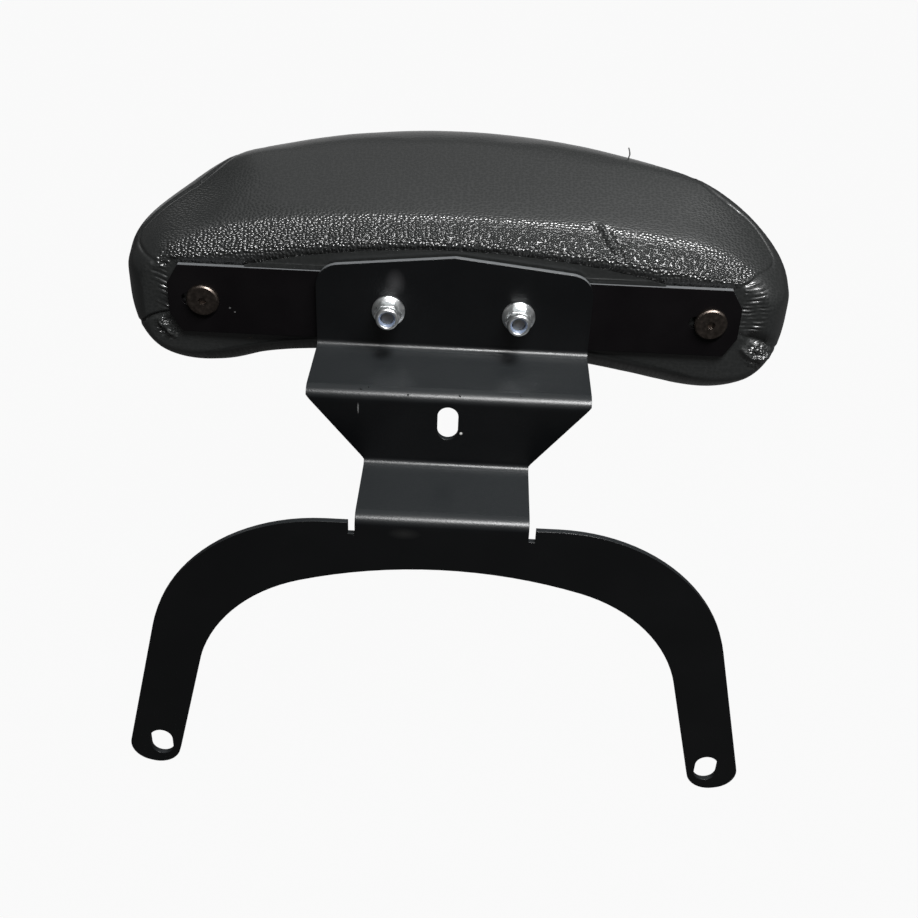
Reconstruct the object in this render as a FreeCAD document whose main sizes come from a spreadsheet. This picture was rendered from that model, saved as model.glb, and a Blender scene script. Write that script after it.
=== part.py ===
import FreeCAD, Part
import math
import os
import re

import Sketcher

# Motorcycle backrest: a folded steel bracket, a flat strap, their fasteners and an upholstered pad.
# The origin lies midway between the two leg slots, on the front face of the horseshoe plate.
# +Y points to the front of the motorcycle, +X to its right side and +Z up.

doc = FreeCAD.newDocument("backrest")
sheet = doc.addObject("Spreadsheet::Sheet", "sizes")

# Driving dimensions, in millimetres and degrees
driving = {
    # folded bracket
    "sheetThickness": 3,
    "bendInnerRadius": 4,
    "lowLedgeHeight": 170,
    "lowLedgeDepth": 50.5,
    "stepHeight": 44,
    "highLedgeDepth": 49.5,
    "flangeWidth": 150,
    "flangePeakHeight": 55,
    "flangeSideHeight": 47,
    "flangeCornerRadius": 13,
    "taperTopDrop": 4,
    "taperFootRise": 2,
    "tabWidth": 89,
    "stepSlotWidth": 11,
    "stepSlotLength": 20,
    "stepSlotHeight": 26.5,
    # horseshoe plate with its two legs
    "legSlotSpacing": 318,
    "legSlotWidth": 13,
    "legSlotLength": 19,
    "legLean": 13.6,
    "legInnerMargin": 11.3,
    "legOuterMargin": 17.5,
    "footLength": 17,
    "footFlat": 1.8,
    "shoulderHeight": 166,
    "shoulderRadius": 98,
    "notchWidth": 3.5,
    "notchDepth": 4,
    "archTopHeight": 138,
    "archSpringHeight": 106.5,
    "archCornerRadius": 85,
    # strap across the back of the pad
    "strapLength": 313,
    "strapHeight": 40,
    "strapThickness": 3,
    "strapClipAlong": 6.5,
    "strapClipDown": 11,
    "strapSlotLength": 21,
    "strapSlotWidth": 7,
    # bolts and lock nuts that join strap and bracket
    "boltLineHeight": 22.5,
    "boltSpacing": 71,
    "boltDiameter": 8,
    "boltHeadDiameter": 20,
    "boltHeadHeight": 4.5,
    "boltHeadRim": 1,
    "boltEndChamfer": 0.8,
    "boltReach": 8.6,
    "boltHoleClearance": 0.5,
    "neckClearance": 0.2,
    "nutAcrossFlats": 13,
    "nutFlangeDiameter": 18,
    "nutFlangeEdge": 1.2,
    "nutFlangeHeight": 2.8,
    "nutHexHeight": 8,
    "nutHeight": 11.1,
    "nutCollarDiameter": 12.6,
    "nutCollarRound": 0.9,
    "threadClearance": 0.1,
    "insertDiameter": 11,
    "insertBore": 7.4,
    "insertHeight": 2.3,
    "insertLip": 0.45,
    # bolts that hold the pad, and their nuts in the board
    "padBoltSpacing": 278,
    "padShift": 1.5,
    "padBoltDiameter": 6,
    "padBoltHeadDiameter": 17.8,
    "padBoltHeadHeight": 2.6,
    "padBoltHeadChamfer": 0.8,
    "padBoltSocket": 4,
    "padBoltSocketDepth": 1.8,
    "padBoltLength": 16,
    "insertNutBarrel": 9,
    "insertNutBarrelLength": 8,
    "insertNutFlange": 19,
    "insertNutFlangeThickness": 1.5,
    "insertNutClearance": 0.1,
    # upholstered pad, with heights taken from the upper ledge
    "padWidth": 373,
    "padDepth": 92,
    "padBackTop": 67,
    "padFrontTop": 102,
    "padBackBottom": -2.3,
    "padFrontBottom": -35.7,
    "padTopArch": 16,
    "padBottomArch": 17.6,
    "padArchSpan": 290,
    "padEndDepth": 31,
    "padEndHeight": 29,
    "padBackFlat": 327,
    "padFrontFlat": 26,
    "padTopFlat": 251,
    "padSquareness": 5.4,
    "padEndPower": 1.6,
    "padBackSwell": 3,
    "coverThickness": 1.5,
    "coverOpeningLength": 296,
    "coverOpeningHeight": 32,
    "boardLength": 300,
    "boardThickness": 10,
    "boardEdgeMargin": 11,
    "boardCornerRadius": 12,
    "boardHeadRoom": 1.5,
}
for row, (alias, size) in enumerate(driving.items(), start=1):
    sheet.set(f"A{row}", alias)
    sheet.set(f"B{row}", str(size))
    sheet.setAlias(f"B{row}", alias)
doc.recompute()

# Places that several pieces share, written from the driving dimensions
bendOuterRadius = "(bendInnerRadius + sheetThickness)"
highLedgeHeight = "(lowLedgeHeight + stepHeight)"
flangeFront = "(lowLedgeDepth + highLedgeDepth)"
flangeRear = f"({flangeFront} - sheetThickness)"
strapFront = f"({flangeFront} + strapThickness)"
boltLine = f"({highLedgeHeight} + boltLineHeight)"
stripFoot = f"(lowLedgeHeight - {bendOuterRadius} - notchDepth)"
boardRear = f"({strapFront} + coverThickness)"
headRoom = "(boltHeadDiameter / 2 + boardHeadRoom)"
barrelRoom = "(insertNutBarrel / 2 + insertNutClearance)"
sides = (("left", "-1"), ("right", "1"))
padStations = (0, 8, 16, 24, 32, 40, 48, 56, 64, 71, 77, 82, 85.5)
padSectionPoints = 24


# Expressions and numbers


def bound(text):
    def named(word):
        return "sizes." + word.group() if word.group() in driving else word.group()

    return re.sub(r"[A-Za-z]\w*", named, text)


def number(text):
    return float(sheet.evalExpression(bound(text)))


def tie(target, name, text):
    target.setExpression(name, bound(text))


# Bodies and sketches


def newBody(label, x="0", y="0", z="0"):
    body = doc.addObject("PartDesign::Body", label)
    body.Label = label
    for axis, text in (("x", x), ("y", y), ("z", z)):
        tie(body, f"Placement.Base.{axis}", text)
    return body


def newSketch(body, name, role):
    sketch = body.newObject("Sketcher::SketchObject", name)
    planes = [feature for feature in body.Origin.OriginFeatures if feature.Role == role]
    sketch.AttachmentSupport = [(planes[0], "")]
    sketch.MapMode = "FlatFace"
    return sketch


def constrain(sketch, constraint, text):
    index = sketch.addConstraint(constraint)
    tie(sketch, f"Constraints[{index}]", text)


def fixPoint(sketch, geometry, end, x, y):
    constrain(sketch, Sketcher.Constraint("DistanceX", -1, 1, geometry, end, number(x)), x)
    constrain(sketch, Sketcher.Constraint("DistanceY", -1, 1, geometry, end, number(y)), y)


def arcOver(first, last, radius):
    # the shorter arc that runs anticlockwise from one point to the other
    chord = last - first
    half = chord.Length / 2
    rise = math.sqrt(max(radius * radius - half * half, 0))
    across = FreeCAD.Vector(-chord.y, chord.x, 0).normalize()
    centre = (first + last) / 2 + across * rise
    start = math.atan2(first.y - centre.y, first.x - centre.x)
    stop = math.atan2(last.y - centre.y, last.x - centre.x)
    return Part.ArcOfCircle(Part.Circle(centre, FreeCAD.Vector(0, 0, 1), radius), start, stop)


def drawOutline(sketch, corners, arcs=None):
    # a closed outline through corners; arcs gives some of its sides a turn of 1 or -1 and a radius,
    # or no radius for a half round that runs on from the line before it
    arcs = arcs or {}
    points = [FreeCAD.Vector(number(x), number(y), 0) for x, y in corners]
    count = len(points)
    ends = []
    for side in range(count):
        here, there = points[side], points[(side + 1) % count]
        if side not in arcs:
            ends.append((sketch.addGeometry(Part.LineSegment(here, there)), 1, 2))
            continue
        turn, radius = arcs[side]
        first, last = (here, there) if turn > 0 else (there, here)
        size = number(radius) if radius else (last - first).Length / 2
        index = sketch.addGeometry(arcOver(first, last, size))
        ends.append((index, 1, 2) if turn > 0 else (index, 2, 1))
        if radius:
            constrain(sketch, Sketcher.Constraint("Radius", index, size), radius)
    for side, (index, start, stop) in enumerate(ends):
        following, followingStart, followingStop = ends[(side + 1) % count]
        halfRound = arcs.get((side + 1) % count, (0, "none"))[1] is None
        joint = "Tangent" if halfRound else "Coincident"
        sketch.addConstraint(Sketcher.Constraint(joint, index, stop, following, followingStart))
        fixPoint(sketch, index, start, *corners[side])


def drawCircle(sketch, x, y, radius):
    place = FreeCAD.Vector(number(x), number(y), 0)
    circle = Part.Circle(place, FreeCAD.Vector(0, 0, 1), number(radius))
    index = sketch.addGeometry(circle)
    constrain(sketch, Sketcher.Constraint("Radius", index, number(radius)), radius)
    fixPoint(sketch, index, 3, x, y)


def drawSlot(sketch, x, y, length, width, upright):
    reach = f"({length} - {width}) / 2"
    spread = f"({width}) / 2"
    if upright:
        corners = [
            (f"{x} + {spread}", f"{y} - {reach}"),
            (f"{x} + {spread}", f"{y} + {reach}"),
            (f"{x} - {spread}", f"{y} + {reach}"),
            (f"{x} - {spread}", f"{y} - {reach}"),
        ]
    else:
        corners = [
            (f"{x} - {reach}", f"{y} - {spread}"),
            (f"{x} + {reach}", f"{y} - {spread}"),
            (f"{x} + {reach}", f"{y} + {spread}"),
            (f"{x} - {reach}", f"{y} + {spread}"),
        ]
    drawOutline(sketch, corners, {1: (1, None), 3: (1, None)})


def drawHexagon(sketch, acrossFlats):
    corner = f"({acrossFlats}) / sqrt(3)"
    drawOutline(sketch, [(f"{corner} * cos({60 * i})", f"{corner} * sin({60 * i})") for i in range(6)])


# Features


def addPad(body, name, sketch, length, towardFront=False, symmetric=False):
    pad = body.newObject("PartDesign::Pad", name)
    pad.Profile = sketch
    tie(pad, "Length", length)
    pad.Reversed = towardFront
    if symmetric:
        pad.SideType = "Symmetric"
    doc.recompute()
    return pad


def addHoles(body, name, sketch):
    before = body.Shape.Volume
    pocket = body.newObject("PartDesign::Pocket", name)
    pocket.Profile = sketch
    pocket.Type = "ThroughAll"
    pocket.SideType = "Symmetric"
    doc.recompute()
    if body.Shape.Volume >= before:
        raise RuntimeError(f"{name} cuts nothing")


def addSocket(body, name, sketch, depth):
    before = body.Shape.Volume
    pocket = body.newObject("PartDesign::Pocket", name)
    pocket.Profile = sketch
    # half of the cut lies outside the piece, so its depth counts from the sketch
    tie(pocket, "Length", f"2 * {depth}")
    pocket.SideType = "Symmetric"
    doc.recompute()
    if body.Shape.Volume >= before:
        raise RuntimeError(f"{name} cuts nothing")


def addTurned(body, name, sketch, kind="PartDesign::Revolution"):
    turned = body.newObject(kind, name)
    turned.Profile = sketch
    turned.ReferenceAxis = (sketch, ["V_Axis"])
    turned.Angle = 360
    doc.recompute()
    return turned


def addFillet(body, name, base, spots, radius):
    # rounds the edge of base that passes nearest to each spot
    names = []
    for spot in spots:
        vertex = Part.Vertex(*[number(text) for text in spot])
        gaps = [edge.distToShape(vertex)[0] for edge in base.Shape.Edges]
        names.append(f"Edge{gaps.index(min(gaps)) + 1}")
    fillet = body.newObject("PartDesign::Fillet", name)
    fillet.Base = (base, names)
    tie(fillet, "Radius", radius)
    doc.recompute()
    return fillet


def mirrored(corners):
    # the right half of an outline, then its left half in the opposite order
    return corners + [(f"-({x})", y) for x, y in reversed(corners)]


# Folded bracket


def makeBracket():
    body = newBody("mounting_bracket")
    lowUnder = "(lowLedgeHeight - sheetThickness)"
    highUnder = f"({highLedgeHeight} - sheetThickness)"
    stepRear = "(lowLedgeDepth - sheetThickness)"
    peak = f"({highLedgeHeight} + flangePeakHeight)"

    profile = newSketch(body, "bracketProfile", "YZ_Plane")
    drawOutline(profile, [
        (flangeFront, peak),
        (flangeRear, peak),
        (flangeRear, highLedgeHeight),
        (stepRear, highLedgeHeight),
        (stepRear, "lowLedgeHeight"),
        ("-sheetThickness", "lowLedgeHeight"),
        ("-sheetThickness", stripFoot),
        ("0", stripFoot),
        ("0", lowUnder),
        ("lowLedgeDepth", lowUnder),
        ("lowLedgeDepth", highUnder),
        (flangeFront, highUnder),
    ])
    strip = addPad(body, "foldedStrip", profile, "flangeWidth", symmetric=True)
    strip = addFillet(body, "innerBends", strip, [
        ("0", flangeRear, highLedgeHeight),
        ("0", "lowLedgeDepth", highUnder),
        ("0", stepRear, "lowLedgeHeight"),
        ("0", "0", lowUnder),
    ], "bendInnerRadius")
    strip = addFillet(body, "outerBends", strip, [
        ("0", flangeFront, highUnder),
        ("0", stepRear, highLedgeHeight),
        ("0", "lowLedgeDepth", lowUnder),
        ("0", "-sheetThickness", "lowLedgeHeight"),
    ], bendOuterRadius)

    # the waste beside the taper and above the gable
    half = "flangeWidth / 2"
    gable = f"({highLedgeHeight} + flangeSideHeight)"
    above = f"({peak} + sheetThickness)"
    beyond = f"({half} + sheetThickness)"
    below = f"({stripFoot} - sheetThickness)"
    taperTop = f"({highLedgeHeight} - taperTopDrop)"
    taperFoot = "(lowLedgeHeight + taperFootRise)"
    waste = newSketch(body, "bracketWaste", "XZ_Plane")
    drawOutline(waste, [
        (half, gable),
        (half, above),
        (f"-{half}", above),
        (f"-{half}", gable),
        ("0", peak),
    ])
    for sign in ("", "-"):
        drawOutline(waste, [
            (f"{sign}({half})", taperTop),
            (f"{sign}(tabWidth / 2)", taperFoot),
            (f"{sign}(tabWidth / 2)", below),
            (f"{sign}{beyond}", below),
            (f"{sign}{beyond}", taperTop),
        ])
    addHoles(body, "bracketTrim", waste)

    # horseshoe plate, drawn with sharp corners that are rounded after
    centre = "legSlotSpacing / 2"
    shoulderEnd = "tabWidth / 2 + notchWidth"
    outerX = f"{centre} + legOuterMargin / cos(legLean) - shoulderHeight * tan(legLean)"
    springX = f"({centre} - legInnerMargin / cos(legLean) - archSpringHeight * tan(legLean))"
    archRise = "(archTopHeight - archSpringHeight)"
    archRadius = f"({springX} * {springX} + {archRise} * {archRise}) / (2 * {archRise})"
    outerFoot = (
        f"{centre} + legOuterMargin * cos(legLean) + footLength * sin(legLean)",
        "legOuterMargin * sin(legLean) - footLength * cos(legLean)",
    )
    innerFoot = (
        f"{centre} - legInnerMargin * cos(legLean) + footLength * sin(legLean)",
        "-legInnerMargin * sin(legLean) - footLength * cos(legLean)",
    )
    rightHalf = [
        (springX, "archSpringHeight"),
        innerFoot,
        outerFoot,
        (outerX, "shoulderHeight"),
        (shoulderEnd, "shoulderHeight"),
        (shoulderEnd, stripFoot),
    ]
    horseshoe = newSketch(body, "horseshoeOutline", "XZ_Plane")
    corners = mirrored(rightHalf)
    drawOutline(horseshoe, corners, {len(corners) - 1: (-1, archRadius)})
    plate = addPad(body, "horseshoePlate", horseshoe, "sheetThickness")
    middle = "-sheetThickness / 2"

    def both(corner):
        return [(f"{sign}({corner[0]})", middle, corner[1]) for sign in ("", "-")]

    plate = addFillet(body, "shoulders", plate, both((outerX, "shoulderHeight")), "shoulderRadius")
    plate = addFillet(body, "archCorners", plate, both((springX, "archSpringHeight")), "archCornerRadius")
    footRadius = "(legInnerMargin + legOuterMargin - footFlat) / 2"
    plate = addFillet(body, "feet", plate, both(innerFoot) + both(outerFoot), footRadius)
    flangeMiddle = f"{flangeFront} - sheetThickness / 2"
    flangeCorners = [(f"{sign}{half}", flangeMiddle, gable) for sign in ("", "-")]
    addFillet(body, "flangeCorners", plate, flangeCorners, "flangeCornerRadius")

    holes = newSketch(body, "bracketHoles", "XZ_Plane")
    drawSlot(holes, "0", "(lowLedgeHeight + stepSlotHeight)", "stepSlotLength", "stepSlotWidth", True)
    for sign in ("", "-"):
        drawSlot(holes, f"{sign}legSlotSpacing / 2", "0", "legSlotLength", "legSlotWidth", True)
        drawCircle(holes, f"{sign}boltSpacing / 2", boltLine, "boltDiameter / 2 + boltHoleClearance")
    addHoles(body, "bracketOpenings", holes)
    return body


# Strap


def makeStrap():
    body = newBody("pad_strap", y=flangeFront, z=boltLine)
    halfLength = "strapLength / 2"
    halfHeight = "strapHeight / 2"
    rightHalf = [
        (f"{halfLength} - strapClipAlong", f"-{halfHeight}"),
        (halfLength, f"-{halfHeight} + strapClipDown"),
        (halfLength, f"{halfHeight} - strapClipDown"),
        (f"{halfLength} - strapClipAlong", halfHeight),
    ]
    outline = newSketch(body, "strapOutline", "XZ_Plane")
    drawOutline(outline, mirrored(rightHalf))
    addPad(body, "strapBar", outline, "strapThickness", towardFront=True)
    holes = newSketch(body, "strapHoles", "XZ_Plane")
    neck = "(boltDiameter / 2 + neckClearance)"
    for sign in ("", "-"):
        drawSlot(holes, f"{sign}padBoltSpacing / 2", "0", "strapSlotLength", "strapSlotWidth", False)
        drawOutline(holes, [
            (f"{sign}boltSpacing / 2 - {neck}", f"-{neck}"),
            (f"{sign}boltSpacing / 2 + {neck}", f"-{neck}"),
            (f"{sign}boltSpacing / 2 + {neck}", neck),
            (f"{sign}boltSpacing / 2 - {neck}", neck),
        ])
    addHoles(body, "strapOpenings", holes)
    return body


# Fasteners, each turned about its own Y axis


def makeBracketBolt(side, sign):
    body = newBody(f"bracket_bolt_{side}", f"{sign} * boltSpacing / 2", strapFront, boltLine)
    headRadius = "boltHeadDiameter / 2"
    dome = "(boltHeadHeight - boltHeadRim)"
    domeRadius = f"({headRadius} * {headRadius} + {dome} * {dome}) / (2 * {dome})"
    shank = "boltDiameter / 2"
    end = "-(strapThickness + sheetThickness + boltReach)"
    profile = newSketch(body, f"boltProfile_{side}", "XY_Plane")
    drawOutline(profile, [
        ("0", end),
        (f"{shank} - boltEndChamfer", end),
        (shank, f"{end} + boltEndChamfer"),
        (shank, "0"),
        (headRadius, "0"),
        (headRadius, "boltHeadRim"),
        ("0", "boltHeadHeight"),
    ], {5: (1, domeRadius)})
    addTurned(body, f"boltShape_{side}", profile)
    square = newSketch(body, f"boltSquare_{side}", "XZ_Plane")
    drawOutline(square, [
        (shank, f"-{shank}"),
        (shank, shank),
        (f"-{shank}", shank),
        (f"-{shank}", f"-{shank}"),
    ])
    addPad(body, f"boltNeck_{side}", square, "strapThickness")
    return body


def makeBracketNut(side, sign):
    body = newBody(f"bracket_nut_{side}", f"{sign} * boltSpacing / 2", flangeRear, boltLine)
    hexagon = newSketch(body, f"nutHexagon_{side}", "XZ_Plane")
    drawHexagon(hexagon, "nutAcrossFlats")
    addPad(body, f"nutHex_{side}", hexagon, "nutHexHeight")
    collar = "nutCollarDiameter / 2"
    profile = newSketch(body, f"nutProfile_{side}", "XY_Plane")
    drawOutline(profile, [
        ("0", "-nutHeight"),
        (f"{collar} - nutCollarRound", "-nutHeight"),
        (collar, "-nutHeight + nutCollarRound"),
        (collar, "-nutFlangeHeight"),
        ("nutAcrossFlats / 2", "-nutFlangeHeight"),
        ("nutFlangeDiameter / 2", "-nutFlangeEdge"),
        ("nutFlangeDiameter / 2", "0"),
        ("0", "0"),
    ], {1: (1, "nutCollarRound")})
    addTurned(body, f"nutShape_{side}", profile)
    seat = "-(nutHeight - insertHeight)"
    bore = "boltDiameter / 2 + threadClearance"
    pocketRadius = "insertDiameter / 2 + threadClearance"
    hollow = newSketch(body, f"nutHollow_{side}", "XY_Plane")
    drawOutline(hollow, [
        ("0", "-nutHeight - insertHeight"),
        (pocketRadius, "-nutHeight - insertHeight"),
        (pocketRadius, seat),
        (bore, seat),
        (bore, "insertHeight"),
        ("0", "insertHeight"),
    ])
    before = body.Shape.Volume
    addTurned(body, f"nutBore_{side}", hollow, "PartDesign::Groove")
    if body.Shape.Volume >= before:
        raise RuntimeError("the nut's bore cuts nothing")
    return body


def makeNutInsert(side, sign):
    seat = f"({flangeRear} - nutHeight + insertHeight)"
    body = newBody(f"nut_insert_{side}", f"{sign} * boltSpacing / 2", seat, boltLine)
    outer = "insertDiameter / 2"
    inner = "insertBore / 2"
    profile = newSketch(body, f"insertProfile_{side}", "XY_Plane")
    drawOutline(profile, [
        (inner, "-insertHeight + insertLip"),
        (f"{inner} + insertLip", "-insertHeight"),
        (f"{outer} - insertLip", "-insertHeight"),
        (outer, "-insertHeight + insertLip"),
        (outer, "0"),
        (inner, "0"),
    ])
    addTurned(body, f"insertShape_{side}", profile)
    return body


def makePadBolt(side, sign):
    place = f"{sign} * padBoltSpacing / 2 + padShift"
    body = newBody(f"pad_bolt_{side}", place, flangeFront, boltLine)
    head = "padBoltHeadDiameter / 2"
    shank = "padBoltDiameter / 2"
    profile = newSketch(body, f"padBoltProfile_{side}", "XY_Plane")
    drawOutline(profile, [
        ("0", "-padBoltHeadHeight"),
        (f"{head} - padBoltHeadChamfer", "-padBoltHeadHeight"),
        (head, "-padBoltHeadHeight + padBoltHeadChamfer"),
        (head, "0"),
        (shank, "0"),
        (shank, "padBoltLength"),
        ("0", "padBoltLength"),
    ])
    addTurned(body, f"padBoltShape_{side}", profile)
    socket = newSketch(body, f"padBoltSocket_{side}", "XZ_Plane")
    tie(socket, "AttachmentOffset.Base.z", "padBoltHeadHeight")
    drawHexagon(socket, "padBoltSocket")
    addSocket(body, f"padBoltHex_{side}", socket, "padBoltSocketDepth")
    return body


def makeInsertNut(side, sign):
    place = f"{sign} * padBoltSpacing / 2 + padShift"
    body = newBody(f"insert_nut_{side}", place, f"{boardRear} + boardThickness", boltLine)
    bore = "padBoltDiameter / 2 + threadClearance"
    barrel = "insertNutBarrel / 2"
    flange = "insertNutFlange / 2"
    profile = newSketch(body, f"insertNutProfile_{side}", "XY_Plane")
    drawOutline(profile, [
        (bore, "-insertNutBarrelLength"),
        (barrel, "-insertNutBarrelLength"),
        (barrel, "0"),
        (flange, "0"),
        (flange, "insertNutFlangeThickness"),
        (bore, "insertNutFlangeThickness"),
    ])
    addTurned(body, f"insertNutShape_{side}", profile)
    return body


# Backing board, arched as the pad is


def archDrop(arch, along):
    return f"({arch} * ({along}) * ({along}) / (padArchSpan * padArchSpan / 4))"


def makeBoard():
    body = newBody("backing_board", "padShift", boardRear, highLedgeHeight)
    half = "(boardLength / 2)"
    topRise = archDrop("padTopArch", half)
    bottomRise = archDrop("padBottomArch", half)
    top = f"padBackTop - boardEdgeMargin - {topRise}"
    bottom = f"padBackBottom + boardEdgeMargin - {bottomRise}"
    topRadius = f"({half} * {half} + {topRise} * {topRise}) / (2 * {topRise})"
    bottomRadius = f"({half} * {half} + {bottomRise} * {bottomRise}) / (2 * {bottomRise})"
    outline = newSketch(body, "boardOutline", "XZ_Plane")
    corners = [(half, bottom), (half, top), (f"-{half}", top), (f"-{half}", bottom)]
    drawOutline(outline, corners, {1: (1, topRadius), 3: (-1, bottomRadius)})
    board = addPad(body, "boardPanel", outline, "boardThickness", towardFront=True)
    spots = [
        (f"{sign} * {half}", "boardThickness / 2", edge)
        for sign in ("1", "-1")
        for edge in (top, bottom)
    ]
    addFillet(body, "boardCorners", board, spots, "boardCornerRadius")
    holes = newSketch(body, "boardHoles", "XZ_Plane")
    for sign in ("1", "-1"):
        drawCircle(holes, f"{sign} * padBoltSpacing / 2", "boltLineHeight", barrelRoom)
        drawCircle(holes, f"{sign} * boltSpacing / 2 - padShift", "boltLineHeight", headRoom)
    addHoles(body, "boardOpenings", holes)
    return body


# Upholstered pad: one skin round lofted sections that close towards both ends


def roundEnd(along, flat, halfWidth, power):
    # 1 on the straight stretch, falling to 0 at the end as a quarter of a superellipse
    part = min(max((along - flat) / (halfWidth - flat), 0), 1)
    return (1 - part ** power) ** (1 / power)


def squaredCircle():
    # points of a superellipse in a square from 0 to 1, and how far round each one lies
    power = 2 / number("padSquareness")
    points = []
    for step in range(padSectionPoints):
        angle = 2 * math.pi * step / padSectionPoints
        across, up = [math.copysign(abs(turn) ** power, turn) for turn in (math.cos(angle), math.sin(angle))]
        points.append(((across + 1) / 2, (up + 1) / 2))
    travel = [0]
    for index, point in enumerate(points):
        travel.append(travel[-1] + math.dist(point, points[(index + 1) % padSectionPoints]))
    return points, [distance / travel[-1] for distance in travel]


def padSection(along, inset):
    # one closed smooth section across the pad, drawn between its four corners
    away = abs(along)
    halfWidth = number("padWidth / 2") - inset
    archSpot = away / number("padArchSpan / 2")
    topDrop = number("padTopArch") * archSpot * archSpot
    bottomDrop = number("padBottomArch") * archSpot * archSpot
    endDepth = number("padEndDepth")
    endHeight = number("padEndHeight")
    back = roundEnd(away, number("padBackFlat / 2"), halfWidth, 2)
    front = roundEnd(away, number("padFrontFlat / 2"), halfWidth, number("padEndPower"))
    height = roundEnd(away, number("padTopFlat / 2"), halfWidth, 2)

    rear = endDepth - (endDepth - inset + number("padBackSwell")) * back
    fore = endDepth + (number("padDepth") - inset - endDepth) * front

    def level(full):
        return endHeight + (full - endHeight) * height

    backLow = level(number("padBackBottom") + inset - bottomDrop)
    frontLow = level(number("padFrontBottom") + inset - bottomDrop)
    backHigh = level(number("padBackTop") - inset - topDrop)
    frontHigh = level(number("padFrontTop") - inset - topDrop)
    places, travel = squaredCircle()
    points = []
    for across, up in places:
        low = backLow + (frontLow - backLow) * across
        high = backHigh + (frontHigh - backHigh) * across
        points.append(FreeCAD.Vector(along, rear + (fore - rear) * across, low + (high - low) * up))
    curve = Part.BSplineCurve()
    curve.interpolate(Points=points, PeriodicFlag=True, Parameters=travel)
    return Part.Wire([curve.toShape()])


def padSolid(inset):
    # the sections stand closer together towards the round ends
    halfWidth = number("padWidth / 2") - inset
    steps = [halfWidth * math.sin(math.radians(angle)) for angle in padStations]
    places = [-step for step in reversed(steps[1:])] + steps
    loft = Part.makeLoft([padSection(place, inset) for place in places], True, False)
    # the sections swell a little past the flat back, which is cut level
    bounds = loft.BoundBox
    corner = FreeCAD.Vector(bounds.XMin, inset, bounds.ZMin)
    return loft.common(Part.makeBox(bounds.XLength, bounds.YMax - inset, bounds.ZLength, corner))


def padFeature(label, shape):
    feature = doc.addObject("Part::Feature", label)
    feature.Label = label
    feature.Shape = shape
    place = FreeCAD.Vector(number("padShift"), number(strapFront), number(highLedgeHeight))
    feature.Placement = FreeCAD.Placement(place, FreeCAD.Rotation())
    return feature


def makeCover():
    wall = number("coverThickness")
    skin = padSolid(0).cut(padSolid(wall))
    length = number("coverOpeningLength")
    height = number("coverOpeningHeight")
    corner = FreeCAD.Vector(-length / 2, -wall, number("boltLineHeight") - height / 2)
    opening = Part.makeBox(length, 3 * wall, height, corner)
    return padFeature("pad_cover", skin.cut(opening))


def makeFoam(fillers):
    # the board, its nuts and the room round the bolts are kept free of foam
    core = padFeature("foam_core", padSolid(number("coverThickness")))
    shape = core.Shape
    for filler in fillers:
        shape = shape.cut(filler.Shape)
    throughBoard = "boardThickness + coverThickness"
    shankRoom = "padBoltDiameter / 2 + threadClearance"
    for sign in ("1", "-1"):
        padBolt = f"{sign} * padBoltSpacing / 2 + padShift"
        rooms = (
            (f"{sign} * boltSpacing / 2", headRoom, throughBoard),
            (padBolt, barrelRoom, throughBoard),
            (padBolt, shankRoom, "padBoltLength"),
        )
        for along, radius, reach in rooms:
            spot = FreeCAD.Vector(number(along), number(strapFront), number(boltLine))
            room = Part.makeCylinder(number(radius), number(reach), spot, FreeCAD.Vector(0, 1, 0))
            shape = shape.cut(room)
    core.Placement = FreeCAD.Placement()
    core.Shape = shape
    return core


board = makeBoard()
insertNuts = [makeInsertNut(side, sign) for side, sign in sides]
pieces = [makeBracket(), makeStrap(), board] + insertNuts
for side, sign in sides:
    pieces.append(makeBracketBolt(side, sign))
    pieces.append(makeBracketNut(side, sign))
    pieces.append(makeNutInsert(side, sign))
    pieces.append(makePadBolt(side, sign))
doc.recompute()
pieces.append(makeCover())
pieces.append(makeFoam([board] + insertNuts))
doc.recompute()

failed = [item.Label for item in doc.Objects if "Invalid" in item.State or "Error" in item.State]
if failed:
    raise RuntimeError(f"not built: {failed}")
for piece in pieces:
    if piece.Shape.isNull() or not piece.Shape.isValid():
        raise RuntimeError(f"bad shape: {piece.Label}")

os.makedirs("parts", exist_ok=True)
for piece in pieces:
    piece.Shape.exportStep(f"parts/{piece.Label}.step")
    print(f"{piece.Label}: {len(piece.Shape.Solids)} solid, {piece.Shape.Volume / 1000:.2f} cm3")
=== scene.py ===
import math

import bmesh
import bpy
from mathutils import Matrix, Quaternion, Vector, noise
from mathutils.bvhtree import BVHTree
from mathutils.kdtree import KDTree


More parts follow.
